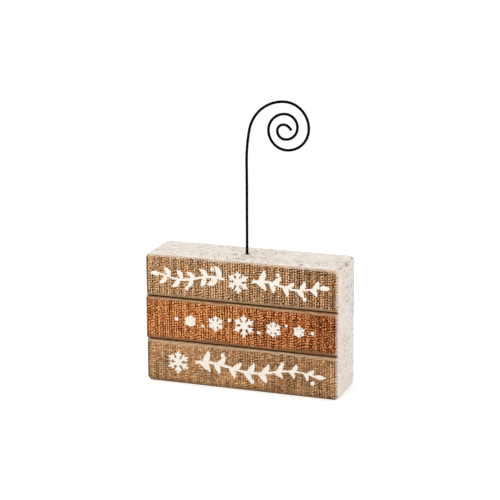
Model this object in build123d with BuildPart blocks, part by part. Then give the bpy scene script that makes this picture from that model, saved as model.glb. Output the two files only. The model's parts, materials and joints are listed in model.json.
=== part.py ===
from build123d import *

import math
import os

# A wooden photo block. Three stained slats are glued across the face of a painted board, with a narrow
# seam between them. A scroll of stiff round wire stands in a hole drilled into the board's top edge, and
# holds a photograph between its turns. The wire can be swivelled in its hole.
#
# Lengths are millimetres. +Z is up, the slats face -Y, and +X is to the right of someone who faces the
# slats. The origin is the middle of the block's footprint, on the surface that it stands on.

# Painted board, and the outline that it shares with the slats
block_width = 101.6
block_height = 67.3
board_thickness = 19.0
corner_round = 2.4
back_edge_round = 0.8

# Stained slats, named from the lowest to the highest
slat_names = ("lower_slat", "middle_slat", "upper_slat")
slat_thickness = 8.0
seam_gap = 0.5
slat_corner_round = 1.0
slat_edge_round = 0.9

# Hole that the wire stands in
hole_offset = -1.3
hole_depth = 25.0
hole_clearance = 0.05
rim_chamfer = 0.4
rim_chamfer_angle = 90

# Wire: a straight stem, a lead-in bend, a shoulder, the quarter turns of the scroll and a straight tip
wire_diameter = 1.3
stem_height = 46.9
lead_in_radius = 90.0
lead_in_angle = 10.4
shoulder_radius = 18.4
scroll_radius = 12.65
quarter_turn_shares = (1.0, 0.895, 0.744, 0.675, 0.504, 0.493, 0.326, 0.252)
tip_bend_radius = 4.2
tip_bend_angle = 53
tip_length = 1.2
wire_end_chamfer = 0.12

# Sizes that follow from the ones above
quarter_turn = 90
block_depth = board_thickness + slat_thickness
back_y = block_depth / 2
glue_y = back_y - board_thickness
slat_height = (block_height - (len(slat_names) - 1) * seam_gap) / len(slat_names)
wire_radius = wire_diameter / 2
hole_radius = wire_radius + hole_clearance
foot_z = block_height - hole_depth

# Painted board, with its hole for the wire
with BuildPart() as backing_board:
    with BuildSketch(Plane.XZ.offset(-back_y)):
        with Locations((0, block_height / 2)):
            RectangleRounded(block_width, block_height, corner_round)
    extrude(amount=board_thickness)
    fillet(backing_board.faces().sort_by(Axis.Y)[-1].edges(), back_edge_round)
    with Locations((hole_offset, 0, block_height)):
        CounterSinkHole(
            radius=hole_radius,
            counter_sink_radius=hole_radius + rim_chamfer,
            depth=hole_depth,
            counter_sink_angle=rim_chamfer_angle,
        )

backing_board.part.label = "backing_board"
pieces = [backing_board.part]

# Slats: the block's outer corners follow the board, and the corners at the seams are rounded less
for index, name in enumerate(slat_names):
    is_lowest = index == 0
    is_highest = index == len(slat_names) - 1
    slat_middle = index * (slat_height + seam_gap) + slat_height / 2
    with BuildPart() as slat:
        with BuildSketch(Plane.XZ.offset(-glue_y)) as slat_outline:
            with Locations((0, slat_middle)):
                Rectangle(block_width, slat_height)
            lower_corners, *_, upper_corners = slat_outline.vertices().group_by(Axis.Y)
            fillet(lower_corners, corner_round if is_lowest else slat_corner_round)
            fillet(upper_corners, corner_round if is_highest else slat_corner_round)
        extrude(amount=slat_thickness)
        fillet(slat.faces().sort_by(Axis.Y)[0].edges(), slat_edge_round)
    slat.part.label = name
    pieces.append(slat.part)

# Wire, swept along straight runs and tangent arcs that turn clockwise as seen from the front
with BuildPart() as spiral_wire:
    with BuildLine(Plane.XZ) as wire_path:
        stem = Line((hole_offset, foot_z), (hole_offset, block_height + stem_height))
        lead_in = JernArc(stem @ 1, stem % 1, lead_in_radius, -lead_in_angle)
        bend = JernArc(lead_in @ 1, lead_in % 1, shoulder_radius, lead_in_angle - quarter_turn)
        for radius_share in quarter_turn_shares:
            bend = JernArc(bend @ 1, bend % 1, scroll_radius * radius_share, -quarter_turn)
        tip_bend = JernArc(bend @ 1, bend % 1, tip_bend_radius, -tip_bend_angle)
        tip = Line(tip_bend @ 1, tip_bend @ 1 + (tip_bend % 1) * tip_length)
    with BuildSketch(Plane.XY.offset(foot_z)):
        with Locations((hole_offset, 0)):
            Circle(wire_radius)
    sweep(path=wire_path.wire())
    chamfer(spiral_wire.faces().filter_by(GeomType.PLANE).edges(), wire_end_chamfer)

spiral_wire.part.label = "spiral_wire"
pieces.append(spiral_wire.part)


def least_turn_gap(path, tightest_radius, samples=500):
    """Smallest clear distance between two turns of the wire, leaving out points less than half a turn apart."""
    points = path.positions([sample / samples for sample in range(samples + 1)])
    step = path.length / samples
    apart = math.ceil(math.pi * tightest_radius / step)
    centre_distance = min(
        (points[first] - points[second]).length
        for first in range(samples + 1)
        for second in range(first + apart, samples + 1)
    )
    return centre_distance - 2 * wire_radius


tightest_radius = min(tip_bend_radius, scroll_radius * min(quarter_turn_shares))
wire_centreline = wire_path.wire()
wire_length = wire_centreline.length
print(f"wire length {wire_length:.1f} mm, tightest bend {tightest_radius:.1f} mm")
print(f"least gap between turns {least_turn_gap(wire_centreline, tightest_radius):.2f} mm")
print(f"wire volume {spiral_wire.part.volume:.1f} mm3, section times length "
      f"{math.pi * wire_radius**2 * wire_length:.1f} mm3")

os.makedirs("parts", exist_ok=True)
for piece in pieces:
    export_step(piece, f"parts/{piece.label}.step")
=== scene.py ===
"""A wooden photo block, dressed for rendering.

Three rough-sawn slats, each with its own stain and a hand-painted winter ornament, are glued to the face of
an off-white painted board. A dark wire stands in a hole in the board's top edge and ends in a flat scroll.

Every length is in metres. +Z is up, the slats face -Y, and the origin is the middle of the block's
footprint. Each surface is a grid of points that numpy works out, put into a mesh in one go.
"""

from __future__ import annotations

import itertools
import json
import logging
import math
from dataclasses import dataclass, field
from enum import Enum
from functools import cached_property
from typing import Any, Sequence

import bpy
import numpy as np
from mathutils import Matrix, Vector

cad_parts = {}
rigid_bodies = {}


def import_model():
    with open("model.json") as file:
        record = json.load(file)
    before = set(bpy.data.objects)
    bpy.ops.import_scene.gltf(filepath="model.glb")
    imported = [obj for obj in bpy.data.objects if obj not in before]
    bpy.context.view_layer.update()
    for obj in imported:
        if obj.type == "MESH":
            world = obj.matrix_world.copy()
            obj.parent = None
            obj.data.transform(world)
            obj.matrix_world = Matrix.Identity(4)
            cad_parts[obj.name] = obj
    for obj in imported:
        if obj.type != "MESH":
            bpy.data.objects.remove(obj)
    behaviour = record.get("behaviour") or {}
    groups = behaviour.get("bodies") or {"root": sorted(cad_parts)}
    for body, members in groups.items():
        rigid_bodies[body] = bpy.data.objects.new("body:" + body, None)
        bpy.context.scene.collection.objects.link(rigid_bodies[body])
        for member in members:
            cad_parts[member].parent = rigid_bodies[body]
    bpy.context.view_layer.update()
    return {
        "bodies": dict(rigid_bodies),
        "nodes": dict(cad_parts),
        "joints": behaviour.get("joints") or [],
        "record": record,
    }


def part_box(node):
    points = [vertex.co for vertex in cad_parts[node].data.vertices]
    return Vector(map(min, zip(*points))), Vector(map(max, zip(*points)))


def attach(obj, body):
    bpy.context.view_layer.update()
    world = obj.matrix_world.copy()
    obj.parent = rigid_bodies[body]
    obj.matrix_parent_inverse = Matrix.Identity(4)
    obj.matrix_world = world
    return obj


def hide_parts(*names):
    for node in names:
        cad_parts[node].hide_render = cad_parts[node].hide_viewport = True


LOG = logging.getLogger("photo_block")
MM = 0.001
FULL_TURN = 2 * math.pi
RIGHT_ANGLE = math.pi / 2
QUARTER_DEGREES = 90.0
TINY = 1e-12
BAKE_MAP = "OFBake"

Array = np.ndarray
Colour = tuple[float, float, float, float]
Point = tuple[float, float]
Point3 = tuple[float, float, float]


class Seed(Enum):
    """Where each random pattern starts, so that every run draws the same one."""

    SAW_DRIFT = 11
    SAW_STRENGTH = 12
    SAW_BANDS = 13
    GRAIN = 14
    FIBRES = 15
    STREAKS = 16
    TEAR_OUT = 17
    PLANED = 18
    KNOTS = 19
    BRUSH_EDGE = 21
    PAINT_EDGE = 31
    PAINT_SWELL = 32
    PITS = 33
    PIT_PATCHES = 34
    NICKS = 35
    RIM_CHIPS = 36
    WIRE_SWAY = 41


class Facing(Enum):
    """Which way a slab's broad face looks along Y."""

    FRONT = -1
    BACK = 1


def srgb(red: int, green: int, blue: int) -> Colour:
    """Turn a screen colour into the scene's linear light.

    Args:
        red: red from 0 to 255.
        green: green from 0 to 255.
        blue: blue from 0 to 255.

    Returns:
        The linear colour, opaque.
    """
    shares = [channel / 255 for channel in (red, green, blue)]
    linear = [c / 12.92 if c <= 0.04045 else ((c + 0.055) / 1.055) ** 2.4 for c in shares]
    return (linear[0], linear[1], linear[2], 1.0)


def smooth_step(low: float, high: float, values: Array) -> Array:
    """Rise smoothly from 0 at low to 1 at high, by the cubic 3t^2 - 2t^3.

    Args:
        low: value that gives 0.
        high: value that gives 1.
        values: the values to map.

    Returns:
        Numbers from 0 to 1.
    """
    share = np.clip((values - low) / (high - low), 0, 1)
    return share * share * (3 - 2 * share)


def bell(middle: float, width: float, values: Array) -> Array:
    """Peak at 1 in the middle and fall off to both sides, by the curve exp(-t^2)."""
    return np.exp(-(((values - middle) / width) ** 2))


def lattice_random(cells: Array, seed: int) -> Array:
    """Give each whole-number lattice cell its own number from -1 to 1, by mixing the bits of its place.

    Args:
        cells: whole numbers, with x, y, z on the last axis.
        seed: which draw it is.

    Returns:
        One number for each cell.
    """
    mask = 0xFFFFFFFF
    mixed = (cells[..., 0] * 73856093) ^ (cells[..., 1] * 19349663) ^ (cells[..., 2] * 83492791)
    mixed = (mixed ^ (seed * 40503)) & mask
    for _ in range(2):
        mixed = ((mixed ^ (mixed >> 15)) * 739982445) & mask
    return ((mixed ^ (mixed >> 15)) & 0xFFFF) / 32767.5 - 1


def value_noise(points: Array, cell: Sequence[float], seed: Seed, layers: int = 1) -> Array:
    """Noise from random numbers at the corners of a lattice, joined by smooth steps.

    Each further layer halves the cell and the strength, and the sum is scaled back to about -1 to 1.

    Args:
        points: places, with x, y, z on the last axis.
        cell: size of a lattice cell along x, y and z.
        seed: which draw it is.
        layers: how many layers are added.

    Returns:
        One number for each place.
    """
    gain = 1.4
    total = np.zeros(points.shape[:-1])
    strength = 1.0
    for layer in range(layers):
        scaled = points / (np.asarray(cell) / 2**layer)
        base = np.floor(scaled).astype(np.int64)
        part = scaled - base
        part = part * part * (3 - 2 * part)
        for corner in itertools.product((0, 1), repeat=3):
            weight = np.prod(np.where(np.array(corner) == 1, part, 1 - part), axis=-1)
            total += strength * weight * lattice_random(base + np.array(corner), seed.value + 97 * layer)
        strength /= 2
    return total * gain / (2 - 2 * strength)


def add_object(name: str, data: bpy.types.ID) -> bpy.types.Object:
    """Make an object of a mesh, a light or a camera, and link it to the scene.

    Args:
        name: the object's name.
        data: what it shows.

    Returns:
        The object, at the origin.
    """
    thing = bpy.data.objects.new(name, data)
    bpy.context.scene.collection.objects.link(thing)
    return thing


@dataclass
class GridMesh:
    """A closed mesh made of one grid of points and the fans that close its open rims.

    An open grid is closed by one fan over its whole border. A grid that closes on itself along its columns,
    like a tube, is closed by a fan at its first and at its last row.
    """

    name: str
    points: Array
    tube: bool = False
    flipped: bool = False
    attributes: dict[str, Array] = field(default_factory=dict)

    def build(self) -> bpy.types.Object:
        """Make the mesh and its object, with a bake map that unrolls the grid, and link it to the scene.

        Returns:
            The new object, at the origin.
        """
        rows, columns = self.points.shape[:2]
        index = np.arange(rows * columns).reshape(rows, columns)
        wrapped = np.concatenate([index, index[:, :1]], axis=1) if self.tube else index
        quads = np.stack([wrapped[:-1, :-1], wrapped[1:, :-1], wrapped[1:, 1:], wrapped[:-1, 1:]], -1)
        loops = self._tube_rims(wrapped) if self.tube else [self._border(index)]
        hubs = [self.points.reshape(-1, 3)[loop].mean(axis=0) for loop in loops]
        fans = [
            np.stack([np.roll(loop, -1), loop, np.full(len(loop), rows * columns + number)], -1)
            for number, loop in enumerate(loops)
        ]
        faces = [quads.reshape(-1, 4), *fans]
        if self.flipped:
            faces = [group[:, ::-1] for group in faces]
        mesh = bpy.data.meshes.new(self.name)
        vertices = np.concatenate([self.points.reshape(-1, 3), np.array(hubs)])
        mesh.from_pydata(vertices, [], list(itertools.chain.from_iterable(group.tolist() for group in faces)))
        self._write_bake_map(mesh, rows, columns, faces)
        for name, values in self.attributes.items():
            layer = mesh.attributes.new(name, "FLOAT", "POINT")
            rims = [values.reshape(-1)[loop].mean() for loop in loops]
            layer.data.foreach_set("value", np.concatenate([values.reshape(-1), rims]).astype(np.float32))
        is_smooth = np.arange(sum(len(group) for group in faces)) < len(faces[0])
        mesh.polygons.foreach_set("use_smooth", is_smooth)
        mesh.update()
        return add_object(self.name, mesh)

    @staticmethod
    def _border(index: Array) -> Array:
        """Indices round an open grid's border, in the order in which its quads run along it."""
        return np.concatenate([index[:-1, 0], index[-1, :-1], index[:0:-1, -1], index[0, :0:-1]])

    @staticmethod
    def _tube_rims(wrapped: Array) -> list[Array]:
        """Indices round a tube's first and last rows, in the order in which its quads run along them."""
        return [wrapped[0, :0:-1], wrapped[-1, :-1]]

    def _write_bake_map(self, mesh: bpy.types.Mesh, rows: int, columns: int, faces: list[Array]) -> None:
        """Lay the grid out flat in one part of the bake map and its fans in strips above it.

        Args:
            mesh: the mesh to write to.
            rows: number of rows of points.
            columns: number of columns of points.
            faces: the quads, then each fan's triangles.
        """
        grid_share, margin = 0.86, 1.04
        fan_count = len(faces) - 1
        strip = (1 - grid_share) / fan_count
        place = np.arange(rows * columns)
        row, column = place // columns, place % columns
        flat = np.stack([row / (rows - 1), grid_share * column / (columns if self.tube else columns - 1)], -1)
        quad_map = flat[faces[0]]
        if self.tube:
            over = (column[faces[0]] == 0) & (column[faces[0]].max(axis=1, keepdims=True) == columns - 1)
            quad_map[..., 1] = np.where(over, grid_share, quad_map[..., 1])
        parts = [quad_map.reshape(-1, 2)]
        points = self.points.reshape(-1, 3)
        for number, fan in enumerate(faces[1:]):
            hub = fan.max()
            rim = points[fan[fan != hub]]
            middle, spread = rim.mean(axis=0), np.ptp(rim, axis=0)
            wide, narrow = np.argsort(spread)[::-1][:2]
            corners = np.where((fan == hub)[..., None], middle, points[np.minimum(fan, len(points) - 1)])
            share = (corners - middle) / (np.maximum(spread, TINY) * margin) + 0.5
            base = grid_share + number * strip
            parts.append(np.stack([share[..., wide], base + strip * share[..., narrow]], -1).reshape(-1, 2))
        layer = mesh.uv_layers.new(name=BAKE_MAP)
        layer.uv.foreach_set("vector", np.concatenate(parts).astype(np.float32).ravel())


@dataclass(frozen=True)
class FoldedSlab:
    """A slab whose broad face and four edges are one sheet, folded over a rounded rim.

    A place on the unfolded sheet has an x and a z. Inside the inner rectangle, which lies one inset within
    the outline, it is on the face. Outside it, the greater of its two distances beyond that rectangle says
    how far it has run towards and round the rim, and the ratio of the two turns it round the corner.
    The grid's steps are those on the face, round the rim and on the sides.
    """

    low: Point
    high: Point
    face_y: float
    root_y: float
    rim_radius: float
    lower_corner: float
    upper_corner: float
    steps: Point3
    seam_fill: float = 0.75

    @property
    def inset(self) -> float:
        """Width of the border in which the sheet turns the corners."""
        return max(self.lower_corner, self.upper_corner, self.rim_radius)

    @property
    def facing(self) -> Facing:
        """The way that the broad face looks."""
        return Facing.FRONT if self.face_y < self.root_y else Facing.BACK

    @property
    def rim_start(self) -> float:
        """How far beyond the inner rectangle the rim starts to turn."""
        return self.inset - self.rim_radius

    @property
    def rim_end(self) -> float:
        """How far beyond the inner rectangle the rim has turned and the side begins."""
        return self.rim_start + RIGHT_ANGLE * self.rim_radius

    @property
    def reach(self) -> float:
        """How far the sheet runs beyond the inner rectangle, to where the sides end."""
        return self.rim_end + abs(self.root_y - self.face_y) - self.rim_radius

    def lines(self, axis: int) -> Array:
        """Places of the grid lines along one axis of the unfolded sheet.

        Args:
            axis: 0 for x, 1 for z.

        Returns:
            The places in rising order.
        """
        inner_low, inner_high = self.low[axis] + self.inset, self.high[axis] - self.inset
        ends = (0.0, self.rim_start, self.rim_end, self.reach)
        stretches = [
            np.linspace(start, end, math.ceil((end - start) / step) + 1)[1:]
            for start, end, step in zip(ends, ends[1:], self.steps)
            if end > start
        ]
        outward = np.concatenate(stretches)
        inner = np.linspace(inner_low, inner_high, round((inner_high - inner_low) / self.steps[0]) + 1)
        return np.concatenate([inner_low - outward[::-1], inner, inner_high + outward])


@dataclass(frozen=True)
class Sheet:
    """Places laid out on a slab's unfolded sheet, and what becomes of each of them when it is folded."""

    slab: FoldedSlab
    along: Array
    up: Array

    @cached_property
    def across(self) -> Array:
        """Signed distance beyond the inner rectangle along x, 0 inside it."""
        return self._beyond(self.along, 0)

    @cached_property
    def above(self) -> Array:
        """Signed distance beyond the inner rectangle along z, 0 inside it."""
        return self._beyond(self.up, 1)

    def _beyond(self, places: Array, axis: int) -> Array:
        """Signed distance beyond the inner rectangle along one axis of the unfolded sheet."""
        low, high, inset = self.slab.low[axis], self.slab.high[axis], self.slab.inset
        return places - np.clip(places, low + inset, high - inset)

    @cached_property
    def run(self) -> Array:
        """How far each place has run beyond the inner rectangle: the greater of its two distances."""
        return np.maximum(np.abs(self.across), np.abs(self.above))

    @cached_property
    def over(self) -> Array:
        """How far each place has run over the rim: 0 where it starts to turn, 1 where the side begins."""
        return (self.run - self.slab.rim_start) / (self.slab.rim_end - self.slab.rim_start)

    @cached_property
    def turn(self) -> Array:
        """Tell how far each place has turned round its corner, from the ratio of its two distances.

        Returns:
            Numbers from 0 on an end, through a half on the corner's diagonal, to 1 on a long edge.
        """
        wide, tall = np.abs(self.across), np.abs(self.above)
        greater = np.maximum(self.run, TINY)
        return np.where(tall <= wide, 0.5 * tall / greater, 1 - 0.5 * wide / greater)

    @cached_property
    def corner_line(self) -> Array:
        """How near each place is to the middle of a rounded corner, by a bell curve of its turn."""
        is_corner = (self.across != 0) & (self.above != 0)
        return np.where(is_corner, bell(0.5, 0.17, self.turn), 0.0)

    @cached_property
    def points(self) -> Array:
        """Fold the places on to the slab.

        Towards the rim a place moves outwards by sin and backwards by 1 - cos of the angle that the rim has
        turned. Round a corner it follows the corner's straight stretches and quarter circle, and a corner at
        a seam is sharper behind the rim, where paint has filled it.

        Returns:
            Places in space, with x, y, z on the last axis.
        """
        slab, run = self.slab, self.run
        turned = np.clip((run - slab.rim_start) / slab.rim_radius, 0, RIGHT_ANGLE)
        outward = np.minimum(run, slab.rim_start) + slab.rim_radius * np.sin(turned)
        behind = slab.rim_radius * (1 - np.cos(turned)) + np.maximum(run - slab.rim_end, 0)
        radius = np.where(self.above < 0, slab.lower_corner, slab.upper_corner)
        filled = slab.seam_fill * smooth_step(slab.rim_start, slab.rim_end, run)
        radius = np.where(radius < slab.inset, radius * (1 - filled), radius)
        sideways, upwards = self._corner(radius)
        x = self.along - self.across + np.sign(self.across) * outward * sideways
        z = self.up - self.above + np.sign(self.above) * outward * upwards
        y = slab.face_y - slab.facing.value * behind
        return np.stack(np.broadcast_arrays(x, y, z), axis=-1)

    def _corner(self, radius: Array) -> tuple[Array, Array]:
        """Follow a corner's outline: straight, a quarter circle, and straight again.

        Args:
            radius: the corner's radius at each place.

        Returns:
            How far each place stands sideways and upwards, in shares of the inset.
        """
        straight = self.slab.inset - radius
        arc = RIGHT_ANGLE * radius
        walked = self.turn * (2 * straight + arc)
        angle = np.clip((walked - straight) / radius, 0, RIGHT_ANGLE)
        left = np.maximum(walked - straight - arc, 0)
        sideways = straight + radius * np.cos(angle) - left
        upwards = np.minimum(walked, straight) + radius * np.sin(angle)
        return sideways / self.slab.inset, upwards / self.slab.inset

    @cached_property
    def outward(self) -> Array:
        """Unit normals of the folded sheet.

        Returns:
            The cross product of the grid's differences along its rows and columns, scaled to length 1.
        """
        rows, columns = (np.gradient(self.points, axis=axis) for axis in (0, 1))
        normal = np.cross(rows, columns) * -self.slab.facing.value
        return normal / np.maximum(np.linalg.norm(normal, axis=-1, keepdims=True), TINY)


@dataclass(frozen=True)
class Stroke:
    """One pull of a loaded brush: places along it, x and z, and the brush's half width at each."""

    places: Array
    half_widths: Array

    @classmethod
    def pull(cls, start: Point, end: Point, width: float, bow: float = 0.0, tip: float = 0.5) -> Stroke:
        """Pull a stroke along a parabola, narrow at its ends and full in between.

        The half width is tip + (1 - tip) sin(pi t^0.85) of half the width, so the belly is nearer the start.

        Args:
            start: where the brush lands.
            end: where it lifts.
            width: full width at the belly.
            bow: how far the middle stands to the left of the straight line.
            tip: width at the ends as a share of the full width.

        Returns:
            The stroke.
        """
        start_at, end_at = np.array(start), np.array(end)
        chord = end_at - start_at
        length = float(np.hypot(*chord))
        steps = np.linspace(0, 1, max(3, math.ceil(length / (0.25 * MM))))[:, None]
        left = np.array([-chord[1], chord[0]]) / max(length, TINY)
        places = start_at + steps * chord + 4 * steps * (1 - steps) * bow * left
        swell = tip + (1 - tip) * np.sin(math.pi * steps[:, 0] ** 0.85)
        return cls(places, width / 2 * swell)

    @classmethod
    def dot(cls, middle: Point, diameter: float) -> Stroke:
        """Touch the brush down once."""
        return cls(np.array([middle]), np.array([diameter / 2]))


@dataclass
class Ornament:
    """Brush strokes on the face of one slat, placed from the block's middle and the slat's middle height."""

    strokes: list[Stroke] = field(default_factory=list)
    twig_thickness: float = 0.74 * MM
    twig_phase: float = 0.6
    leaf_lean: float = 52.0
    barb_lean: float = 48.0

    def leaf(self, base: Point, heading: float, length: float, width: float, bow: float = 0.0) -> None:
        """Paint a pointed leaf with one pull.

        Args:
            base: where it leaves its twig.
            heading: its direction in degrees from +X towards +Z.
            length: its length.
            width: its full width.
            bow: how far it curls to the left.
        """
        angle = math.radians(heading)
        end = (base[0] + length * math.cos(angle), base[1] + length * math.sin(angle))
        self.strokes.append(Stroke.pull(base, end, width, bow, tip=0.16))

    def twig(self, start_x: float, end_x: float, rise: float, waves: float, pairs: int, leaf: Point) -> None:
        """Paint a waving twig with leaves on both sides, smaller towards its end, and berries between them.

        The twig's height is rise times sin(2 pi waves t + phase), where t runs from 0 at its start to 1.

        Args:
            start_x: where the twig starts.
            end_x: where it ends.
            rise: height of its wave.
            waves: number of waves along it.
            pairs: number of pairs of leaves.
            leaf: length and width of its largest leaves.
        """
        span = end_x - start_x
        length, width = leaf
        share = np.linspace(0, 1, max(8, round(abs(span) / (0.25 * MM))))
        height = rise * np.sin(FULL_TURN * waves * share + self.twig_phase)
        line = np.stack([start_x + span * share, height], -1)
        self.strokes.append(Stroke(line, self.twig_thickness * (1 - 0.4 * share)))
        way, hand = (0.0, 1) if span > 0 else (180.0, -1)
        for pair in range(pairs):
            at = (pair + 0.35) / pairs
            x, z = line[round(at * (len(line) - 1))]
            steepness = math.cos(FULL_TURN * waves * at + self.twig_phase) * rise * waves * FULL_TURN / span
            slope = math.degrees(math.atan(steepness))
            size = (1 - 0.35 * at) * (1.0 + 0.12 * math.sin(5.1 * pair))
            for side in (-1, 1):
                lean = side * hand * (self.leaf_lean + 7 * math.sin(2.3 * pair + side))
                base = (x + side * 0.12 * length, z)
                self.leaf(base, way + slope + lean, size * length, size * width, bow=-side * 0.1 * length)
            if pair % 2 == 1:
                side = 1 if pair % 4 == 1 else -1
                berry = (x + 0.52 * length, z + side * 0.66 * length)
                self.strokes.append(Stroke.dot(berry, 0.3 * length))
        self.leaf(tuple(line[-1]), way, 0.7 * length, 0.8 * width)

    def star(self, middle: Point, radius: float, arms: int = 6, tilt: float = 90.0) -> None:
        """Paint a snow star: arms from its middle, each with a pair of short barbs.

        Args:
            middle: its middle.
            radius: length of an arm.
            arms: number of arms.
            tilt: direction of its first arm in degrees.
        """
        width = 0.85 * MM + 0.13 * radius
        for arm in range(arms):
            angle = math.radians(tilt + 360 * arm / arms)
            reach = radius * (1 + 0.06 * math.sin(7.0 * arm + radius / MM))
            tip, fork = (
                (middle[0] + share * reach * math.cos(angle), middle[1] + share * reach * math.sin(angle))
                for share in (1.0, 0.55)
            )
            self.strokes.append(Stroke.pull(middle, tip, width, tip=0.62))
            for side in (-1, 1):
                way = angle + side * math.radians(self.barb_lean)
                end = (fork[0] + 0.36 * radius * math.cos(way), fork[1] + 0.36 * radius * math.sin(way))
                self.strokes.append(Stroke.pull(fork, end, 0.8 * width, tip=0.7))

    def outside(self, x: Array, z: Array) -> Array:
        """Distance of each place to the nearest stroke's edge, negative inside it.

        Args:
            x: places along the slat.
            z: heights above the slat's middle.

        Returns:
            The distances, in the shape of x.
        """
        places = np.concatenate([stroke.places for stroke in self.strokes])
        half_widths = np.concatenate([stroke.half_widths for stroke in self.strokes])
        flat_x, flat_z = x.reshape(-1), z.reshape(-1)
        nearest = np.empty(len(flat_x))
        batch = 4000
        for first in range(0, len(flat_x), batch):
            part = slice(first, first + batch)
            across = flat_x[part, None] - places[:, 0]
            above = flat_z[part, None] - places[:, 1]
            nearest[part] = (np.hypot(across, above) - half_widths).min(axis=1)
        return nearest.reshape(x.shape)


@dataclass(frozen=True)
class PaintRelief:
    """Relief of the off-white paint, worked out from the place in space, so that it crosses every joint."""

    end_x: float
    back_y: float
    swell_height: float = 0.045 * MM
    pit_depth: float = 0.1 * MM

    @classmethod
    def on(cls, node: str) -> PaintRelief:
        """Fit the relief to a node's solid."""
        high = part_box(node)[1]
        return cls(end_x=high.x, back_y=high.y)

    def at(self, points: Array) -> tuple[Array, Array]:
        """Work out the paint's surface.

        The brushed paint swells gently. A pit is where a fine noise passes a limit, which a slow noise lowers
        in patches, and which is higher on the back and lower on the ends, most of all near the back.

        Args:
            points: places on the block.

        Returns:
            The height of the paint's surface and how deep in a pit each place is, from 0 to 1.
        """
        swell = value_noise(points, (3.2 * MM, 2.4 * MM, 2.8 * MM), Seed.PAINT_SWELL, layers=3)
        patches = value_noise(points, (17 * MM, 9 * MM, 13 * MM), Seed.PIT_PATCHES)
        dots = value_noise(points, (1.4 * MM, 0.6 * MM, 0.68 * MM), Seed.PITS, layers=2)
        to_back = self.back_y - points[..., 1]
        to_end = self.end_x - np.abs(points[..., 0])
        on_back = 1 - smooth_step(0.2 * MM, 0.9 * MM, to_back)
        on_end = 1 - smooth_step(0.3 * MM, 1.0 * MM, to_end)
        near_back = 1 - smooth_step(1.5 * MM, 10.5 * MM, to_back)
        limit = 0.62 - 0.2 * patches + 0.17 * on_back - on_end * (0.09 + 0.1 * near_back)
        pits = smooth_step(0, 0.14, dots - limit)
        return self.swell_height * swell - self.pit_depth * pits, pits


@dataclass(frozen=True)
class SawnFace:
    """The rough-sawn face of a slat: the saw's upright ridges, crossed by rows of fibres along the slat."""

    ridge_pitch: float = 1.3 * MM
    row_pitch: float = 1.3 * MM
    row_lean: float = 0.2
    band_pitch: float = 4.1 * MM
    ridge_height: float = 0.098 * MM
    fibre_height: float = 0.05 * MM
    tear_depth: float = 0.08 * MM
    drift_reach: float = 0.28 * MM
    flow_reach: float = 0.8 * MM
    # How much painted shade darkens the tone towards the right.
    right_shade: float = 0.22
    shift: float = 0.0

    def marks(self, points: Array) -> tuple[Array, Array]:
        """Work out the relief of the sawn wood.

        The ridges are a cosine of x, and the rows that cross them are a cosine of z that leans with x. Slow
        noises make both of them drift and make them strong in one place and weak in another, and their
        product knots them together. Towards the right the tone is darkened: painted shade, for the light
        that falls off across the face.

        Args:
            points: places on the face.

        Returns:
            The height, and the tone from about -1 in the hollows to 1 on the crests.
        """
        flat = points * np.array([1, 0, 1]) + np.array([self.shift, self.shift, 0])
        drift = self.drift_reach * value_noise(flat, (5 * MM, 1, 10 * MM), Seed.SAW_DRIFT, layers=2)
        flow = self.flow_reach * value_noise(flat, (5 * MM, 1, 5 * MM), Seed.STREAKS, layers=2)
        ridge = np.cos(FULL_TURN * (flat[..., 0] + drift) / self.ridge_pitch)
        rows = np.cos(FULL_TURN * (flat[..., 2] - self.row_lean * flat[..., 0] + flow) / self.row_pitch)
        slow = 2 * value_noise(flat, (11 * MM, 1, 40 * MM), Seed.SAW_BANDS)
        bands = np.cos(FULL_TURN * flat[..., 0] / self.band_pitch + slow)
        upright = 0.6 + 0.55 * value_noise(flat, (9 * MM, 1, 12 * MM), Seed.SAW_STRENGTH, layers=2)
        level = 0.6 + 0.55 * value_noise(flat, (7 * MM, 1, 5 * MM), Seed.GRAIN, layers=2)
        fibres = value_noise(flat, (0.9 * MM, 1, 0.42 * MM), Seed.FIBRES)
        torn = smooth_step(0.5, 0.85, value_noise(flat, (1.3 * MM, 1, 0.5 * MM), Seed.TEAR_OUT, layers=2))
        knots = ridge * rows * (0.55 - 0.45 * value_noise(flat, (6 * MM, 1, 8 * MM), Seed.KNOTS, layers=2))
        # Painted shade: the tone darkens towards the right, where less light falls on the face.
        shade_to_right = smooth_step(-35 * MM, 50 * MM, points[..., 0])
        tone = 0.6 * ridge * upright + 0.4 * rows * level + 0.6 * knots + 0.16 * bands - 0.3 * torn
        height = self.ridge_height * tone + self.fibre_height * fibres - self.tear_depth * torn
        return height, tone - self.right_shade * shade_to_right


class Signal:
    """A number that varies over a surface, held by one node socket, with the usual operators."""

    def __init__(self, bench: NodeBench, socket: bpy.types.NodeSocket) -> None:
        """Wrap a socket of a bench's tree."""
        self.bench = bench
        self.socket = socket

    def __add__(self, other: Number) -> Signal:
        """Add."""
        return self.bench.maths("ADD", self, other)

    def __radd__(self, other: Number) -> Signal:
        """Add, from the right."""
        return self.bench.maths("ADD", other, self)

    def __sub__(self, other: Number) -> Signal:
        """Subtract."""
        return self.bench.maths("SUBTRACT", self, other)

    def __rsub__(self, other: Number) -> Signal:
        """Subtract from a number."""
        return self.bench.maths("SUBTRACT", other, self)

    def __mul__(self, other: Number) -> Signal:
        """Multiply."""
        return self.bench.maths("MULTIPLY", self, other)

    def __rmul__(self, other: Number) -> Signal:
        """Multiply, from the right."""
        return self.bench.maths("MULTIPLY", other, self)

    def clamp(self) -> Signal:
        """Keep the number between 0 and 1."""
        return self.bench.maths("ADD", self, 0.0, clamped=True)

    def rise(self, low: float, high: float) -> Signal:
        """Rise smoothly from 0 where the number is low to 1 where it is high."""
        node = self.bench.add(
            "ShaderNodeMapRange",
            {"interpolation_type": "SMOOTHSTEP"},
            {"Value": self, "From Min": low, "From Max": high},
        )
        return Signal(self.bench, node.outputs["Result"])


Number = Signal | float


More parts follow.
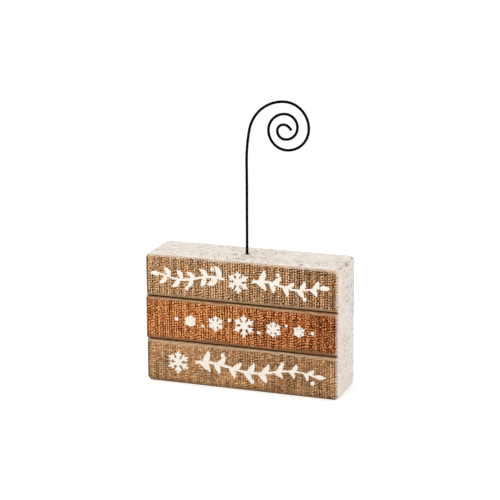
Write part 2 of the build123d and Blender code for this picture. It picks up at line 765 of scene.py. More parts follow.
class NodeBench:
    """A tree of shader nodes under construction, and the one place where nodes are made."""

    def __init__(self, tree: bpy.types.NodeTree, material: bpy.types.Material | None = None) -> None:
        """Clear a tree, which is a material's or the world's."""
        self.tree = tree
        self.material = material
        self.tree.nodes.clear()

    @classmethod
    def for_material(cls, name: str) -> NodeBench:
        """Start a new material.

        Args:
            name: the material's name.

        Returns:
            A bench with the material's empty tree.
        """
        material = bpy.data.materials.new(name)
        material.use_nodes = True
        return cls(material.node_tree, material)

    def close(self, shader: bpy.types.Node, output: str = "ShaderNodeOutputMaterial") -> None:
        """Link a shader to a new output node."""
        self.add(output, None, {"Surface": shader.outputs[0]})

    def seen(self) -> Signal:
        """Tell the rays that are seen from those that light the object.

        Returns:
            1 for rays from the camera, reflections and clear materials, and 0 for the others.
        """
        path = self.add("ShaderNodeLightPath")
        names = ("Is Camera Ray", "Is Glossy Ray", "Is Transmission Ray")
        camera, glossy, clear = (Signal(self, path.outputs[name]) for name in names)
        return (camera + glossy + clear).clamp()

    def add(
        self,
        kind: str,
        settings: dict[str, Any] | None = None,
        inputs: dict[str | int, Any] | None = None,
    ) -> bpy.types.Node:
        """Add a node of any type.

        Args:
            kind: the node's type.
            settings: its settings, set first.
            inputs: values or links by socket name or number.

        Returns:
            The node.
        """
        node = self.tree.nodes.new(kind)
        for name, value in (settings or {}).items():
            setattr(node, name, value)
        for key, value in (inputs or {}).items():
            self.feed(node.inputs[key], value)
        return node

    def feed(self, socket: bpy.types.NodeSocket, value: Any) -> None:
        """Link a signal or a socket to a socket, or set its value.

        Args:
            socket: the socket that is fed.
            value: what it is fed with.
        """
        if isinstance(value, Signal):
            value = value.socket
        if isinstance(value, bpy.types.NodeSocket):
            self.tree.links.new(value, socket)
        else:
            socket.default_value = value

    def maths(self, operation: str, first: Number, second: Number, clamped: bool = False) -> Signal:
        """Join two numbers with a Math node."""
        settings = {"operation": operation, "use_clamp": clamped}
        return Signal(self, self.add("ShaderNodeMath", settings, {0: first, 1: second}).outputs[0])

    def mix(self, share: Number, first: Any, second: Any) -> bpy.types.NodeSocket:
        """Mix two colours by a share from 0, all first, to 1, all second."""
        node = self.add(
            "ShaderNodeMix",
            {"data_type": "RGBA", "clamp_factor": True},
            {"Factor": share, 6: first, 7: second},
        )
        return node.outputs[2]

    def noise(self, cell: Sequence[float], detail: float = 2.0, shift: float = 0.0) -> Signal:
        """Noise on object coordinates, drawn out to a cell of the given size.

        Args:
            cell: size of a blotch along x, y and z.
            detail: number of finer layers.
            shift: how far the pattern is moved, so that two of them differ.

        Returns:
            The noise, about 0.5 in the middle.
        """
        place = self.add("ShaderNodeTexCoord").outputs["Object"]
        scale = tuple(1 / size for size in cell)
        spread = {"Vector": place, "Scale": scale, "Location": (shift,) * 3}
        stretched = self.add("ShaderNodeMapping", None, spread).outputs[0]
        node = self.add("ShaderNodeTexNoise", None, {"Vector": stretched, "Scale": 1.0, "Detail": detail})
        return Signal(self, node.outputs["Fac"])

    def attribute(self, name: str) -> Signal:
        """Read a number that the mesh carries at each vertex."""
        node = self.add("ShaderNodeAttribute", {"attribute_type": "GEOMETRY", "attribute_name": name})
        return Signal(self, node.outputs["Fac"])

    def bump(self, height: Signal, depth: float, strength: float = 1.0) -> bpy.types.NodeSocket:
        """Turn a height from 0 to 1 into a normal, for a relief of the given depth."""
        node = self.add("ShaderNodeBump", None, {"Height": height, "Distance": depth, "Strength": strength})
        return node.outputs["Normal"]

    def surface(self, **inputs: Any) -> bpy.types.Material:
        """Close the material with a Principled shader.

        Args:
            **inputs: its sockets, with underscores for the spaces in their names.

        Returns:
            The finished material.
        """
        named = {name.replace("_", " "): value for name, value in inputs.items()}
        self.close(self.add("ShaderNodeBsdfPrincipled", None, named))
        return self.material


@dataclass(frozen=True)
class OffWhitePaint:
    """Off-white paint brushed thinly over wood, pitted, and rubbed through along the edges."""

    relief: PaintRelief
    slot: str = "whitewashed_wood"
    coat: Colour = srgb(242, 234, 225)
    thin: Colour = srgb(231, 221, 210)
    grained: Colour = srgb(212, 196, 176)
    pit: Colour = srgb(134, 102, 68)
    bare: Colour = srgb(170, 142, 108)
    roughness: float = 0.74
    sheen: float = 0.08

    def layers(self, bench: NodeBench) -> tuple[bpy.types.NodeSocket, Signal]:
        """Build the paint's colour and its fine height.

        Args:
            bench: the material to build in. Its mesh carries the attributes pits and rubbed.

        Returns:
            The colour and the height.
        """
        drag = bench.noise((6 * MM, 3 * MM, 1.2 * MM), 3.0)
        colour = bench.mix(drag.rise(0.42, 0.66), self.coat, self.thin)
        grain = bench.noise((34 * MM, 2.2 * MM, 0.7 * MM), 3.0, shift=9.0)
        colour = bench.mix(grain.rise(0.5, 0.74) * 0.5, colour, self.grained)
        flecks = bench.noise((0.8 * MM, 0.6 * MM, 0.6 * MM), 2.0, shift=3.0).rise(0.62, 0.7)
        where = bench.noise((9 * MM, 7 * MM, 8 * MM), 1.0, shift=7.0).rise(0.42, 0.6)
        worn = (flecks * where * 0.6 + bench.attribute("pits") * 0.85).clamp()
        colour = bench.mix(worn, colour, self.pit)
        colour = bench.mix(bench.attribute("rubbed"), colour, self.bare)
        height = bench.noise((0.5 * MM,) * 3, 3.0, shift=1.0) - grain * 1.5 - worn * 0.6
        return colour, height

    def material(self) -> bpy.types.Material:
        """Make the paint as a material of its own.

        Returns:
            The material. Its mesh carries pits and rubbed.
        """
        bench = NodeBench.for_material(f"{self.slot}_finish")
        colour, height = self.layers(bench)
        return bench.surface(
            Base_Color=colour,
            Roughness=self.roughness,
            Specular_IOR_Level=self.sheen,
            Normal=bench.bump(height, 0.05 * MM, 0.7),
        )


@dataclass(frozen=True)
class StainedWood:
    """Rough-sawn wood under a stain that gathers in the hollows and is rubbed off the crests, with painted
    shade in the hollows and painted highlights on the crests.
    """

    slot: str
    # hollow is dark stain and painted shade; crest is rubbed wood and a painted highlight.
    hollow: Colour
    dull_body: Colour
    body: Colour
    crest: Colour
    band: Colour
    band_streak: Colour
    # Pale tan for the sanded top edge, and for the painted highlight on the top edge of a slat below a seam.
    planed_edge_and_highlight: Colour = srgb(206, 172, 138)
    # Dark brown for painted shade, with some grime: along the left end, along the foot and towards the bottom
    # of the two lower slats.
    shade_and_grime: Colour = srgb(92, 68, 46)
    # Dark brown inside the seams: dark stain, deepened as painted shade the further it runs into the gap.
    seam: Colour = srgb(104, 74, 46)
    brush_paint: Colour = srgb(237, 231, 221)
    contrast: float = 1.0
    shift: float = 0.0

    def material(self, edge_paint: OffWhitePaint) -> bpy.types.Material:
        """Make the slat's material, from bare stained wood through to the paint on its edges.

        Args:
            edge_paint: the paint on the slat's outer edges.

        Returns:
            The material. Its mesh carries tone, band, lit, sanded, dusk, seam, brushed, painted, pits and
            rubbed.
        """
        bench = NodeBench.for_material(f"{self.slot}_finish")
        fine = bench.noise((0.95 * MM, 1, 0.34 * MM), 1.0, shift=self.shift)
        blotch = bench.noise((9 * MM, 1, 13 * MM), 3.0, shift=self.shift + 5.0)
        tone = (bench.attribute("tone") * 0.75 + (fine - 0.5) * 3.6) * self.contrast
        tone = tone + (blotch - 0.5) * 0.8 + 0.5
        body = bench.mix(blotch.rise(0.38, 0.62), self.dull_body, self.body)
        # The hollows are dark stain and painted shade, and the crests are rubbed wood and painted highlights.
        colour = bench.mix(tone.rise(-0.5, 0.5), self.hollow, body)
        colour = bench.mix(tone.rise(0.6, 1.5), colour, self.crest)
        streak = bench.noise((4 * MM, 1, 0.5 * MM), 2.0, shift=self.shift + 2.0)
        band = bench.attribute("band")
        planed = bench.mix(streak.rise(0.35, 0.7), self.band, self.band_streak)
        colour = bench.mix(band * 0.85, colour, planed)
        colour = bench.mix(bench.attribute("sanded") * 0.8, colour, self.planed_edge_and_highlight)
        # Painted highlight: the pale line where the top edge of a slat below a seam catches the light.
        colour = bench.mix(bench.attribute("lit") * 0.75, colour, self.planed_edge_and_highlight)
        # Painted shade, with some grime, along the left end, along the foot and towards the bottom of the two
        # lower slats.
        colour = bench.mix(bench.attribute("dusk") * 0.8, colour, self.shade_and_grime)
        # Dark stain in the seams, deepened as painted shade further into the gap.
        colour = bench.mix(bench.attribute("seam"), colour, self.seam)
        brushed = bench.attribute("brushed")
        cover = (brushed + (fine - 0.5) * 0.5).rise(0.3, 0.62)
        load = bench.noise((1.6 * MM, 1, 1.1 * MM), 2.0, shift=self.shift + 9.0)
        brush_colour = bench.mix(load.rise(0.5, 0.72) * 0.28, self.brush_paint, self.crest)
        colour = bench.mix(cover, colour, brush_colour)
        paint_colour, paint_height = edge_paint.layers(bench)
        painted = bench.attribute("painted")
        colour = bench.mix(painted, colour, paint_colour)
        height = (fine * 0.7 + streak * 0.3) * (1 - painted) + paint_height * (painted * 0.49)
        return bench.surface(
            Base_Color=colour,
            Roughness=0.74 - cover * 0.12,
            Specular_IOR_Level=edge_paint.sheen,
            Normal=bench.bump(height, 0.09 * MM, 0.8),
        )


@dataclass(frozen=True)
class DarkWireFinish:
    """Annealed black-brown wire with a dull sheen and a faint rust-brown bloom."""

    slot: str = "dark_wire"
    dark: Colour = srgb(3, 3, 3)
    bloom: Colour = srgb(14, 10, 8)
    metallic: float = 0.02
    sheen: float = 0.025

    def material(self) -> bpy.types.Material:
        """Make the wire's material.

        Returns:
            The material.
        """
        bench = NodeBench.for_material(f"{self.slot}_finish")
        bloom = bench.noise((1.8 * MM, 1.8 * MM, 2.6 * MM), 3.0)
        skin = bench.noise((0.25 * MM, 0.25 * MM, 0.5 * MM), 2.0, shift=4.0)
        return bench.surface(
            Base_Color=bench.mix(bloom.rise(0.45, 0.75), self.dark, self.bloom),
            Metallic=self.metallic,
            Roughness=0.46 + bloom * 0.2,
            Specular_IOR_Level=self.sheen,
            Normal=bench.bump(skin, 0.02 * MM, 0.5),
        )


def rubbed_edges(sheet: Sheet) -> Array:
    """Work out how far the paint is rubbed off the rounded corners, broken up by a noise.

    Args:
        sheet: the painted sheet.

    Returns:
        Numbers from 0, covered, to 1, bare.
    """
    wander = value_noise(sheet.points, (1.4 * MM, 2.6 * MM, 1.4 * MM), Seed.NICKS, layers=4)
    corner = sheet.corner_line * smooth_step(0.3, 0.9, sheet.over)
    return smooth_step(0.42, 0.85, corner * (0.68 + 0.55 * wander))


@dataclass
class Slat:
    """One rough-sawn slat: its stained face, its planed edges along the seams and its painted outer edges."""

    node: str
    finish: StainedWood
    ornament: Ornament
    grain: SawnFace = field(default_factory=SawnFace)
    is_lowest: bool = False
    is_highest: bool = False
    left_overhang: float = 0.0
    # How strong the painted shade towards the slat's bottom edge is.
    shade_below: float = 0.0
    edge_round: float = 0.9 * MM
    seam_corner: float = 0.5 * MM
    outer_corner: float = 2.4 * MM
    scallop_pitch: float = 1.8 * MM
    brush_depth: float = 0.045 * MM
    fill_depth: float = 0.262 * MM
    notch_depth: float = 0.07 * MM
    wander_reach: float = 0.4 * MM
    planed_top: float = 1.1 * MM
    planed_bottom: float = 0.8 * MM
    dark_end: float = 0.8 * MM
    highlight_width: float = 0.42 * MM
    # How far up from the bottom edge the painted shade reaches.
    shade_reach: float = 2.2 * MM
    veil_reach: float = 1.2 * MM
    veil_cover: float = 0.42
    steps: Point3 = (0.2 * MM, 0.24 * MM, 0.45 * MM)

    def slab(self) -> FoldedSlab:
        """Fit the slab to the slat's solid."""
        low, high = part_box(self.node)
        return FoldedSlab(
            low=(low.x - self.left_overhang, low.z),
            high=(high.x, high.z),
            face_y=low.y,
            root_y=high.y,
            rim_radius=self.edge_round,
            lower_corner=self.outer_corner if self.is_lowest else self.seam_corner,
            upper_corner=self.outer_corner if self.is_highest else self.seam_corner,
            steps=self.steps,
        )

    def at_seam(self, sheet: Sheet) -> Array:
        """Tell which places lie beyond a long edge that faces another slat across a seam."""
        return (sheet.above > 0) & (not self.is_highest) | (sheet.above < 0) & (not self.is_lowest)

    def at_bare_rim(self, sheet: Sheet) -> Array:
        """Tell which places lie where the rim shows bare wood: along the left end and the block's foot."""
        return (sheet.above == 0) & (sheet.across < 0) | (sheet.above < 0) & self.is_lowest

    def closing(self, sheet: Sheet) -> Array:
        """Work out where the paint has filled the seam.

        Args:
            sheet: the slat's sheet.

        Returns:
            Numbers from 0 to 1, high behind the rim and near an end.
        """
        x, slab = sheet.points[..., 0], sheet.slab
        from_end = np.minimum(x - slab.low[0], slab.high[0] - x)
        return (1 - smooth_step(0.7 * MM, 1.5 * MM, from_end)) * smooth_step(0.75, 1.0, sheet.over)

    def zones(self, sheet: Sheet) -> dict[str, Array]:
        """Work out how much of each treatment every place has, from 0 to 1.

        Each is a smooth step of the distance from an edge, and a noise makes that distance wander. The paint
        ends part of the way round the rim, in scallops along the ends, and a thin veil of it runs on over
        the face.

        Args:
            sheet: the slat's sheet.

        Returns:
            painted, seam (dark stain that deepens into painted shade inside a seam), band (planed along a
            seam), lit (a painted highlight: the pale line below a seam), sanded (pale along the top) and
            dusk (painted shade with some grime: dark along the left end, along the foot and towards
            the bottom of the two lower slats).
        """
        low, high = sheet.slab.low, sheet.slab.high
        along, up, over, points = sheet.along, sheet.up, sheet.over, sheet.points
        seam_side = np.where(self.at_seam(sheet), smooth_step(0.4, 0.75, sheet.turn), 0.0)
        ragged = value_noise(points, (1.3 * MM, 2 * MM, 1.1 * MM), Seed.PAINT_EDGE, layers=2)
        swell = value_noise(points, (4 * MM, 1, 3.1 * MM), Seed.PAINT_SWELL)
        scallops = 0.26 * np.cos(FULL_TURN * points[..., 2] / self.scallop_pitch + 1.5 * ragged)
        scallops = scallops * (0.6 + 0.9 * swell)
        limit = 0.42 + np.where(sheet.above == 0, scallops, 0.0) + 0.15 * ragged
        limit = np.maximum(limit + 0.45 * self.at_bare_rim(sheet), 0.12)
        wander = self.wander_reach * value_noise(points, (6 * MM, 1, 4 * MM), Seed.PLANED, layers=2)
        from_top = high[1] - self.edge_round - up + wander
        from_bottom = up - low[1] - self.edge_round + wander
        from_left = along - low[0] - self.edge_round + wander
        from_right = high[0] - self.edge_round - along + 0.6 * wander
        from_paint = np.minimum(from_right, from_top) if self.is_highest else from_right
        from_veil = from_paint + 0.3 * MM * ragged + 0.9 * MM * scallops
        corner_x = 0.6 * (along - high[0] + 1 * MM)
        corner_z = 1.6 * (up - high[1] + 1 * MM)
        from_corner = np.hypot(corner_x, corner_z) + 3 * wander
        top_edge = 1 - smooth_step(0.1 * MM, self.planed_top, from_top)
        bottom_edge = 1 - smooth_step(0.1 * MM, self.planed_bottom, from_bottom)
        # Painted shade, with some grime, darkens the left end.
        left_edge = 1 - smooth_step(-0.2 * MM, self.dark_end, from_left)
        patch = 1 - smooth_step(2.2 * MM, 4.2 * MM, from_corner)
        # Painted highlight along the top edge of a slat below a seam.
        lit = bell(0, self.highlight_width, from_top) * (0.75 + 0.45 * ragged)
        # Painted shade, darker towards the slat's bottom edge.
        shade = self.shade_below * (1 - smooth_step(0.2 * MM, self.shade_reach, from_bottom))
        veil = self.veil_cover * (1 - smooth_step(-0.2 * MM, self.veil_reach, from_veil))
        solid = smooth_step(-0.08, 0.08, over - limit)
        # Painted shade on the rim along the left end and along the foot.
        rim_shade_line = smooth_step(0.1, 0.5, over) * self.at_bare_rim(sheet)
        closed = self.closing(sheet)
        none = np.zeros(along.shape)
        return {
            "painted": np.maximum(np.maximum(solid, veil) * (1 - seam_side), closed),
            # Darker the further the place runs into the seam's gap: dark stain and painted shade.
            "seam": smooth_step(0.42, 0.9, over + 0.14 * ragged) * seam_side * (1 - closed),
            "band": np.maximum(top_edge * (not self.is_highest), bottom_edge * (not self.is_lowest)),
            "lit": none if self.is_highest else np.clip(lit, 0, 1),
            "sanded": np.maximum(0.5 * top_edge, patch) if self.is_highest else none,
            "dusk": np.maximum(np.maximum(left_edge, rim_shade_line), shade) * (1 - seam_side),
        }

    def brushwork(self, sheet: Sheet, tone: Array) -> Array:
        """Work out how much brush paint lies on each place, by its distance from the nearest stroke's edge.

        The paint reaches further on the crests of the sawn wood, and breaks up over its hollows.

        Args:
            sheet: the slat's sheet.
            tone: the wood's tone at each place, low in the hollows.

        Returns:
            Numbers from 0, bare, to 1, covered.
        """
        points = sheet.points
        middle = (sheet.slab.low[1] + sheet.slab.high[1]) / 2
        ragged = value_noise(points, (0.8 * MM, 1, 0.6 * MM), Seed.BRUSH_EDGE, layers=2)
        outside = self.ornament.outside(points[..., 0], points[..., 2] - middle) - 0.14 * MM * tone
        brushed = 1 - smooth_step(-0.12 * MM, 0.16 * MM, outside + 0.16 * MM * ragged)
        return brushed * (1 - 0.75 * smooth_step(0.85, 1.35, -tone + 0.3 * ragged))

    def build(self, edge_paint: OffWhitePaint) -> bpy.types.Object:
        """Fold the sheet, raise its relief, lay the ornament on it and dress it.

        Args:
            edge_paint: the paint on the outer edges.

        Returns:
            The slat.
        """
        slab = self.slab()
        sheet = Sheet(slab, *np.meshgrid(slab.lines(0), slab.lines(1), indexing="ij"))
        over = sheet.over
        zones = self.zones(sheet)
        relief, tone = self.grain.marks(sheet.points)
        brushed = self.brushwork(sheet, tone)
        smooth = np.maximum(zones["band"], zones["sanded"])
        on_face = 1 - smooth_step(0.1, 0.85, over)
        height = relief * on_face * (1 - 0.8 * smooth) * (1 - 0.4 * brushed) + self.brush_depth * brushed
        is_seam = self.at_seam(sheet)
        near_seam = np.where(is_seam, smooth_step(0.5, 0.56, sheet.turn), 0)
        filled = near_seam * self.closing(sheet)
        painted_side = smooth_step(0.45, 0.9, over) * zones["painted"]
        paint_height, pits = edge_paint.relief.at(sheet.points)
        notches = self.notch_depth * np.cos(FULL_TURN * sheet.points[..., 2] / self.scallop_pitch)
        end_rim = bell(0.45, 0.3, over) * (sheet.across != 0)
        height = height + paint_height * painted_side * (1 - filled) + self.fill_depth * filled
        height = height + notches * end_rim * (1 - zones["seam"])
        points = sheet.points + sheet.outward * height[..., None]
        attributes = {
            **zones,
            "tone": tone * (1 - 0.7 * smooth),
            "brushed": brushed * on_face,
            "pits": pits * painted_side,
            "rubbed": rubbed_edges(sheet) * zones["painted"] * ~is_seam,
        }
        piece = GridMesh(f"{self.node}_wood", points, attributes=attributes).build()
        piece.data.materials.append(self.finish.material(edge_paint))
        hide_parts(self.node)
        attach(piece, "block")
        return piece


@dataclass(frozen=True)
class WireHole:
    """The drilled hole for the wire, with a chipped rim, in the sheet that runs over the top edge."""

    x: float
    y: float
    radius: float = 0.70 * MM
    rim: float = 0.40 * MM
    depth: float = 25 * MM
    reach: float = 1.9 * MM
    round_reach: float = 1.15 * MM
    square_reach: float = 1.7 * MM
    wall_spread: float = 1.025
    lines_mm: tuple[float, ...] = (0, 0.2, 0.4, 0.6, 0.68, 0.7, 0.78, 0.88, 1.0, 1.15, 1.35, 1.65)

    def refine(self, lines: Array, middle: float) -> Array:
        """Put grid lines that fit the hole in place of the regular ones near it.

        Args:
            lines: places of the regular grid lines.
            middle: the hole's middle among them.

        Returns:
            The places of all the lines, in rising order.
        """
        offsets = np.array(self.lines_mm) * MM
        kept = lines[np.abs(lines - middle) > self.reach]
        return np.sort(np.concatenate([kept, middle - offsets[1:], middle + offsets]))

    def pierce(self, across: Array, back: Array) -> tuple[Array, Array, Array, Array]:
        """Turn the square rings of the grid about the hole into circles and sink the ones inside it.

        A ring's radius is the greater of its two offsets. Its circle fades back into the square grid further
        out. The rim slopes down to the hole, and the noise makes it wider and narrower.

        Args:
            across: each place's offset from the hole along x.
            back: its offset along the sheet's other direction.

        Returns:
            The two offsets after rounding, how far the place sinks and how bare the wood is.
        """
        square = np.maximum(np.abs(across), np.abs(back))
        distance = np.maximum(np.hypot(across, back), TINY)
        share = 1 - smooth_step(self.round_reach, self.square_reach, square)
        scale = 1 + share * (np.where(square > 0, square / distance, 1) - 1)
        is_inside = square < self.radius - 0.01 * MM
        scale = np.where(is_inside, scale * self.wall_spread, scale)
        spots = np.stack([across, np.zeros(across.shape), back], -1)
        chips = value_noise(spots, (0.7 * MM,) * 3, Seed.RIM_CHIPS, layers=2)
        width = self.rim * (1.05 + 0.75 * chips)
        sink = self.rim * np.clip((self.radius + width - square) / width, 0, 1)
        bare = 1 - smooth_step(0.05 * MM, 0.3 * MM, square - self.radius - width)
        return across * scale, back * scale, np.where(is_inside, self.depth, sink), bare


@dataclass
class Board:
    """The painted board behind the slats, with the hole that the wire stands in."""

    node: str = "backing_board"
    corner: float = 2.4 * MM
    back_round: float = 0.8 * MM
    steps: Point3 = (0.5 * MM, 0.28 * MM, 0.45 * MM)

    def slab(self) -> FoldedSlab:
        """Fit the slab to the board's solid."""
        low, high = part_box(self.node)
        return FoldedSlab(
            low=(low.x, low.z),
            high=(high.x, high.z),
            face_y=high.y,
            root_y=low.y,
            rim_radius=self.back_round,
            lower_corner=self.corner,
            upper_corner=self.corner,
            steps=self.steps,
        )

    def build(self, hole: WireHole, paint: OffWhitePaint) -> bpy.types.Object:
        """Fold the sheet, pierce it, raise the brushed paint and sink its pits.

        Args:
            hole: the hole in the top edge.
            paint: the board's paint.

        Returns:
            The board.
        """
        slab = self.slab()
        hole_up = slab.high[1] - slab.inset + slab.rim_end + (slab.face_y - self.back_round - hole.y)
        rows = hole.refine(slab.lines(0), hole.x)
        columns = hole.refine(slab.lines(1), hole_up)
        along, up = np.meshgrid(rows, columns, indexing="ij")
        across, back, sink, bare = hole.pierce(along - hole.x, up - hole_up)
        sheet = Sheet(slab, hole.x + across, hole_up + back)
        over = sheet.over
        height, pits = paint.relief.at(sheet.points)
        wander = value_noise(sheet.points, (2.6 * MM, 2 * MM, 2.6 * MM), Seed.NICKS, layers=3)
        specks = value_noise(sheet.points, (0.7 * MM, 0.9 * MM, 0.7 * MM), Seed.NICKS, layers=2)
        rim = bell(0.6, 0.45, over)
        back_rim = smooth_step(0.5, 0.8, rim * (0.5 + 0.6 * wander))
        near_rim = np.where(over > 0.6, bell(0.6, 1.1, over), rim)
        nicks = smooth_step(0.55, 0.75, near_rim * (0.52 + 0.75 * specks))
        points = sheet.points + sheet.outward * (height * (1 - bare))[..., None]
        points[..., 2] -= sink
        rubbed = np.maximum(rubbed_edges(sheet), back_rim)
        attributes = {"pits": np.maximum(pits, nicks) * (1 - bare), "rubbed": np.maximum(rubbed, bare)}
        piece = GridMesh("board_wood", points, flipped=True, attributes=attributes).build()
        piece.data.materials.append(paint.material())
        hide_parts(self.node)
        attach(piece, "block")
        return piece


@dataclass
class ScrollWire:
    """The bent wire: a straight stem, a lead-in, a shoulder, eight quarter turns that tighten, and a tip."""

    foot: Vector
    stem_end: float = 114.2 * MM
    radius: float = 0.69 * MM
    lead_in_radius: float = 90.0 * MM
    lead_in_angle: float = 10.4
    shoulder_radius: float = 18.4 * MM
    scroll_radius: float = 12.65 * MM
    shares: tuple[float, ...] = (1.0, 0.895, 0.744, 0.675, 0.504, 0.493, 0.326, 0.252)
    tip_radius: float = 4.2 * MM
    tip_angle: float = 53.0
    tip_length: float = 1.2 * MM
    end_bevel: float = 0.12 * MM
    sway: float = 0.22 * MM
    sway_from: float = 70 * MM
    sway_full: float = 82 * MM
    sides: int = 24
    step: float = 0.35 * MM

    def runs(self) -> list[tuple[float, float]]:
        """List the runs that follow the stem.

        Returns:
            The curvature and the length of each.
        """
        shoulder_angle = QUARTER_DEGREES - self.lead_in_angle
        arcs = [(self.lead_in_radius, self.lead_in_angle), (self.shoulder_radius, shoulder_angle)]
        arcs += [(self.scroll_radius * share, QUARTER_DEGREES) for share in self.shares]
        arcs.append((self.tip_radius, self.tip_angle))
        return [(1 / radius, radius * math.radians(angle)) for radius, angle in arcs] + [(0, self.tip_length)]

    def centreline(self) -> tuple[Array, Array]:
        """Walk along the wire at a steady step.

        The heading turns clockwise by the curvature at each step, and the places are the sum of the steps,
        each taken along the heading at its middle.

        Returns:
            The places, and the heading at each, both with x and z on the last axis.
        """
        stem = self.stem_end - self.foot.z
        counts = [math.ceil(length / self.step) for _, length in self.runs()]
        bends = [(curvature, length / count) for (curvature, length), count in zip(self.runs(), counts)]
        steps = np.repeat([length for _, length in bends], counts)
        turns = np.repeat([curvature * length for curvature, length in bends], counts)
        chords = steps * np.sinc(turns / 2 / math.pi)
        heading = RIGHT_ANGLE - np.concatenate([[0], np.cumsum(turns)])
        middle = heading[:-1] - turns / 2
        moves = np.stack([chords * np.cos(middle), chords * np.sin(middle)], -1)
        scroll = np.array([self.foot.x, self.stem_end]) + np.concatenate([[[0, 0]], np.cumsum(moves, axis=0)])
        count = math.ceil(stem / (2 * self.step))
        rise = np.linspace(self.foot.z, self.stem_end, count, endpoint=False)
        straight = np.stack([np.full(count, self.foot.x), rise], -1)
        heading = np.concatenate([np.full(count, RIGHT_ANGLE), heading])
        return np.concatenate([straight, scroll]), np.stack([np.cos(heading), np.sin(heading)], -1)

    def build(self, finish: DarkWireFinish) -> bpy.types.Object:
        """Carry a circle along the centreline, with bevelled ends and the slight unevenness of hand bending.

        Args:
            finish: the wire's finish.

        Returns:
            The wire.
        """
        places, ahead = self.centreline()
        bevel = self.end_bevel
        first, last = places[:1] + bevel * ahead[:1], places[-1:] - bevel * ahead[-1:]
        places = np.concatenate([places[:1], first, places[1:-1], last, places[-1:]])
        ahead = np.concatenate([ahead[:1], ahead, ahead[-1:]])
        radii = np.full(len(places), self.radius)
        radii[[0, -1]] -= bevel
        walked = np.concatenate([[0], np.cumsum(np.hypot(*np.diff(places, axis=0).T))])
        line = np.stack([walked, np.zeros(len(walked)), np.zeros(len(walked))], -1)
        free = smooth_step(self.sway_from, self.sway_full, places[:, 1]) + (places[:, 0] > 0)
        sway = self.sway * value_noise(line, (19 * MM, 1, 1), Seed.WIRE_SWAY, layers=2) * np.minimum(free, 1)
        angle = np.linspace(0, FULL_TURN, self.sides, endpoint=False)
        out = radii[:, None] * np.cos(angle)
        x = places[:, :1] - ahead[:, 1:] * out
        z = places[:, 1:] + ahead[:, :1] * out
        y = self.foot.y + sway[:, None] + radii[:, None] * np.sin(angle)
        piece = GridMesh("scroll_wire", np.stack([x, y, z], -1), tube=True).build()
        piece.data.materials.append(finish.material())
        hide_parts("spiral_wire")
        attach(piece, "wire")
        return piece


@dataclass(frozen=True)
class SoftLamp:
    """A square soft lamp that looks at the block."""

    name: str
    place: Point3
    size: float
    watts: float
    aim_height: float = 0.05

    def hang(self) -> bpy.types.Object:
        """Hang the lamp and turn it towards the middle of the block.

        Returns:
            The lamp.
        """
        light = bpy.data.lights.new(self.name, "AREA")
        light.size = self.size
        light.energy = self.watts
        lamp = add_object(self.name, light)
        lamp.location = self.place
        away = Vector(self.place) - Vector((0, 0, self.aim_height))
        lamp.rotation_euler = away.to_track_quat("Z", "Y").to_euler()
        return lamp


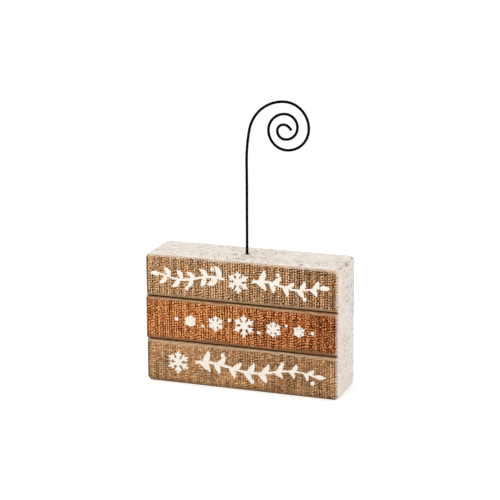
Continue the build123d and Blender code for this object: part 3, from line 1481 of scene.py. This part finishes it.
@dataclass(frozen=True)
class Studio:
    """A white sweep, soft light and the camera."""

    lens: float = 129.9
    sensor_width: float = 36.0
    clip_end: float = 20.0
    target: Point3 = (0.00022, 0.0, 0.06946)
    distance: float = 0.9027
    yaw: float = 19.69
    pitch: float = 14.83
    roll: float = 0.32
    ambient: float = 0.76
    floor_size: float = 6.0
    floor_drop: float = 0.05 * MM
    floor_glow: float = 0.29
    lamps: tuple[SoftLamp, ...] = (
        SoftLamp("key_lamp", (-0.62, -0.85, 0.8), 0.83, 5.7),
        SoftLamp("fill_lamp", (1.3, -0.9, 0.7), 1.2, 5.0),
    )

    def place_camera(self) -> bpy.types.Object:
        """Set the camera up in front of the block, a little to its right and above it.

        Its three angles give the directions to its right, behind it and above it.

        Returns:
            The camera.
        """
        yaw, pitch, roll = (math.radians(angle) for angle in (self.yaw, self.pitch, self.roll))
        right = Vector((math.cos(yaw), math.sin(yaw), 0))
        back = Vector((math.sin(yaw) * math.cos(pitch), -math.cos(yaw) * math.cos(pitch), math.sin(pitch)))
        above = back.cross(right)
        rolled_right = math.cos(roll) * right - math.sin(roll) * above
        rolled_above = math.sin(roll) * right + math.cos(roll) * above
        lens = bpy.data.cameras.new("photo_camera")
        lens.lens = self.lens
        lens.sensor_width = self.sensor_width
        lens.clip_end = self.clip_end
        camera = add_object("photo_camera", lens)
        frame = Matrix((rolled_right, rolled_above, back)).transposed().to_4x4()
        frame.translation = Vector(self.target) + back * self.distance
        camera.matrix_world = frame
        bpy.context.scene.camera = camera
        return camera

    def light_world(self) -> None:
        """Surround the scene with white that the camera and reflections see in full, the object in part."""
        world = bpy.data.worlds.new("white_sweep")
        world.use_nodes = True
        bpy.context.scene.world = world
        bench = NodeBench(world.node_tree)
        strength = bench.seen() * (1 - self.ambient) + self.ambient
        white = {"Color": srgb(255, 255, 255), "Strength": strength}
        bench.close(bench.add("ShaderNodeBackground", None, white), "ShaderNodeOutputWorld")

    def lay_floor(self) -> bpy.types.Object:
        """Lay a large pale floor that keeps the block's shadow.

        Returns:
            The floor.
        """
        half = self.floor_size / 2
        corners = [(-half, -half, 0), (half, -half, 0), (half, half, 0), (-half, half, 0)]
        mesh = bpy.data.meshes.new("studio_floor")
        mesh.from_pydata(corners, [], [(0, 1, 2, 3)])
        floor = add_object("studio_floor", mesh)
        floor.location.z = -self.floor_drop
        bench = NodeBench.for_material("studio_floor")
        diffuse = bench.add("ShaderNodeBsdfDiffuse", None, {"Color": srgb(246, 246, 246)})
        light = {"Color": srgb(255, 255, 255), "Strength": bench.seen() * self.floor_glow}
        glow = bench.add("ShaderNodeEmission", None, light)
        both = {0: diffuse.outputs[0], 1: glow.outputs[0]}
        bench.close(bench.add("ShaderNodeAddShader", None, both))
        mesh.materials.append(bench.material)
        return floor

    def set_up(self) -> None:
        """Place the camera, the lamps, the world and the floor."""
        self.place_camera()
        for lamp in self.lamps:
            lamp.hang()
        self.light_world()
        self.lay_floor()
        bpy.context.scene.view_settings.view_transform = "Standard"


def garland() -> Ornament:
    """Paint a leafy garland for the upper slat, growing outwards both ways from a small star.

    Returns:
        The ornament.
    """
    ornament = Ornament()
    ornament.twig(6.5 * MM, 41.5 * MM, 1.4 * MM, 1.0, 5, (6.6 * MM, 3.1 * MM))
    ornament.twig(-9.5 * MM, -43.5 * MM, 1.4 * MM, 1.0, 5, (6.6 * MM, 3.1 * MM))
    ornament.star((-1.5 * MM, 0.0), 5.2 * MM)
    return ornament


def star_row() -> Ornament:
    """Paint a row of snow stars for the middle slat, large in the middle, with dots between them.

    Returns:
        The ornament.
    """
    ornament = Ornament()
    for x, radius in ((-27, 2.9), (-13.5, 3.9), (1.5, 5.2), (17, 3.9), (30.5, 2.9)):
        ornament.star((x * MM, 0.2 * math.sin(x) * MM), radius * MM)
    for x, z, diameter in ((-20.3, -2.2, 1.5), (-6.2, 2.4, 1.7), (9.3, -2.6, 1.7), (23.9, 2.3, 1.5),
                           (-34.5, 0.3, 1.9), (37.5, -0.3, 1.9)):
        ornament.strokes.append(Stroke.dot((x * MM, z * MM), diameter * MM))
    return ornament


def sprigs() -> Ornament:
    """Paint a star and a long sprig for the lower slat.

    Returns:
        The ornament.
    """
    ornament = Ornament()
    ornament.star((-34 * MM, 0.2 * MM), 5.4 * MM)
    ornament.twig(-24 * MM, 39 * MM, 1.6 * MM, 1.4, 8, (6.9 * MM, 3.2 * MM))
    return ornament


def slats() -> list[Slat]:
    """List the slats, each with its own stain and ornament.

    Returns:
        The three slats, lowest first.
    """
    lower = StainedWood(
        slot="taupe_stained_wood",
        hollow=srgb(58, 32, 12),
        dull_body=srgb(157, 115, 74),
        body=srgb(172, 122, 78),
        crest=srgb(240, 204, 162),
        band=srgb(148, 122, 92),
        band_streak=srgb(186, 160, 130),
        contrast=1.0,
        shift=0.4,
    )
    middle = StainedWood(
        slot="orange_stained_wood",
        hollow=srgb(44, 6, 0),
        dull_body=srgb(147, 69, 16),
        body=srgb(165, 74, 6),
        crest=srgb(252, 184, 120),
        band=srgb(120, 82, 52),
        band_streak=srgb(154, 110, 76),
        contrast=2.2,
        shift=1.9,
    )
    upper = StainedWood(
        slot="tan_stained_wood",
        hollow=srgb(54, 22, 2),
        dull_body=srgb(141, 101, 65),
        body=srgb(157, 104, 56),
        crest=srgb(246, 205, 160),
        band=srgb(142, 114, 84),
        band_streak=srgb(164, 134, 102),
        contrast=1.95,
        shift=3.1,
    )
    return [
        Slat(
            "lower_slat",
            lower,
            sprigs(),
            SawnFace(shift=0.031),
            is_lowest=True,
            left_overhang=0.15 * MM,
            shade_below=0.6,
        ),
        Slat(
            "middle_slat",
            middle,
            star_row(),
            SawnFace(shift=0.117),
            left_overhang=0.4 * MM,
            shade_below=0.4,
        ),
        Slat("upper_slat", upper, garland(), SawnFace(shift=0.213), is_highest=True),
    ]


def main() -> None:
    """Load the frame, build the block, the wire and the studio."""
    logging.basicConfig(level=logging.INFO, format="%(message)s")
    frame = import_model()
    paint = OffWhitePaint(PaintRelief.on("backing_board"))
    swivel = frame["joints"][0]["pos_m"]
    pieces = [slat.build(paint) for slat in slats()]
    pieces.append(Board().build(WireHole(swivel[0], swivel[1]), paint))
    wire_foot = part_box("spiral_wire")[0].z
    pieces.append(ScrollWire(Vector((swivel[0], swivel[1], wire_foot))).build(DarkWireFinish()))
    for piece in pieces:
        LOG.info("%s: %d faces", piece.name, len(piece.data.polygons))
    Studio().set_up()


if __name__ == "__main__":
    main()
